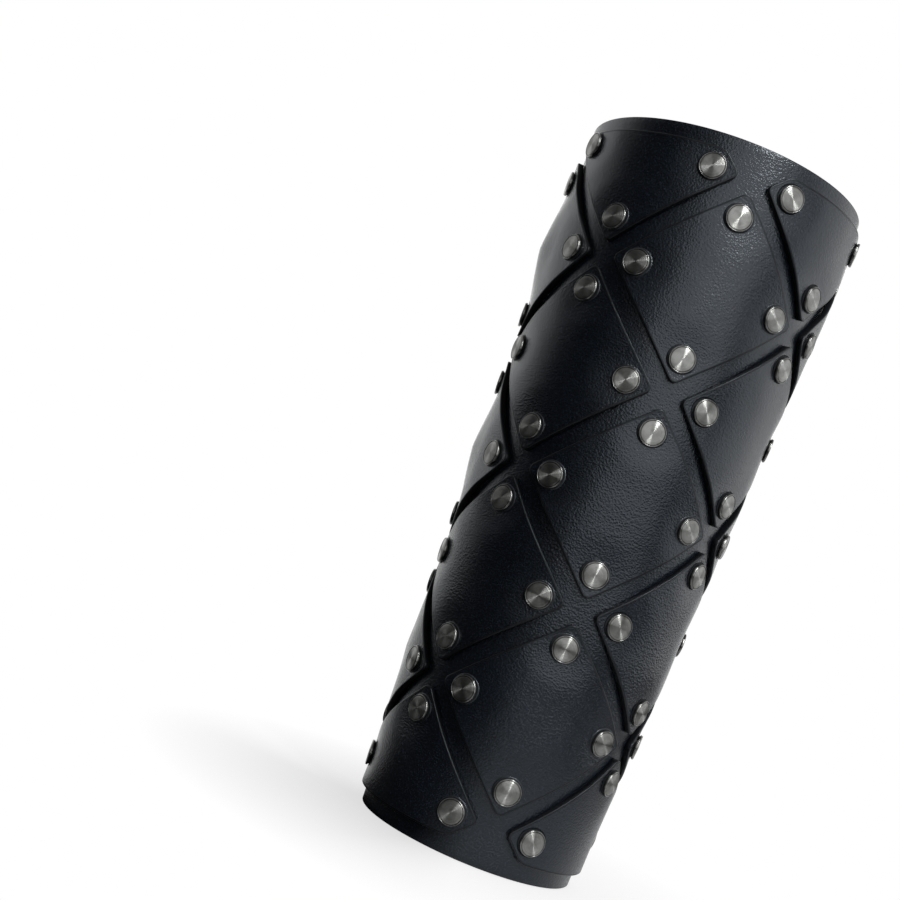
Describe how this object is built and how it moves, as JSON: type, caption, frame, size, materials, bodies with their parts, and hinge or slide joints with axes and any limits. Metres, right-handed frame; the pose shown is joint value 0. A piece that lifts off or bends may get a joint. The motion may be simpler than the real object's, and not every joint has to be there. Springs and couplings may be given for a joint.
{
  "type": "bracer",
  "caption": "Laced leather forearm bracer: an open cone of base leather covered with riveted diamond panels, closed by a flat lace through eyelets and tied in a bow.",
  "frame": {"origin": "centre of the wrist opening, on the tube's axis in the plane of the wrist rim", "axes": "+Z along the tube's axis from the wrist to the elbow, +Y towards the lacing, -Y towards the middle column of panels, +X to the right as seen from the front"},
  "size_m": [0.1056, 0.1055, 0.251],
  "materials": {
    "base_leather": "satin",
    "panel_leather": "satin",
    "rivet_nickel": "satin antique nickel",
    "eyelet_nickel": "satin antique nickel",
    "lace_cord": "waxed"
  },
  "bodies": {
    "root": {"base_leather": "base_leather", "front_panel_top": "panel_leather", "front_panel_middle": "panel_leather", "front_panel_bottom": "panel_leather", "left_panel_elbow": "panel_leather", "left_panel_upper": "panel_leather", "left_panel_lower": "panel_leather", "left_panel_wrist": "panel_leather", "right_panel_elbow": "panel_leather", "right_panel_upper": "panel_leather", "right_panel_lower": "panel_leather", "right_panel_wrist": "panel_leather", "left_side_panel_top": "panel_leather", "left_side_panel_middle": "panel_leather", "left_side_panel_bottom": "panel_leather", "right_side_panel_top": "panel_leather", "right_side_panel_middle": "panel_leather", "right_side_panel_bottom": "panel_leather", "front_rivet_caps": "rivet_nickel", "left_rivet_caps": "rivet_nickel", "right_rivet_caps": "rivet_nickel", "left_side_rivet_caps": "rivet_nickel", "right_side_rivet_caps": "rivet_nickel", "front_rivet_posts": "rivet_nickel", "left_rivet_posts": "rivet_nickel", "right_rivet_posts": "rivet_nickel", "left_side_rivet_posts": "rivet_nickel", "right_side_rivet_posts": "rivet_nickel", "left_eyelets": "eyelet_nickel", "right_eyelets": "eyelet_nickel", "left_eyelet_washers": "eyelet_nickel", "right_eyelet_washers": "eyelet_nickel", "lace": "lace_cord", "bow_knot": "lace_cord", "bow_upper_loop": "lace_cord", "bow_lower_loop": "lace_cord", "lace_upper_end": "lace_cord", "lace_lower_end": "lace_cord"}
  },
  "joints": []
}
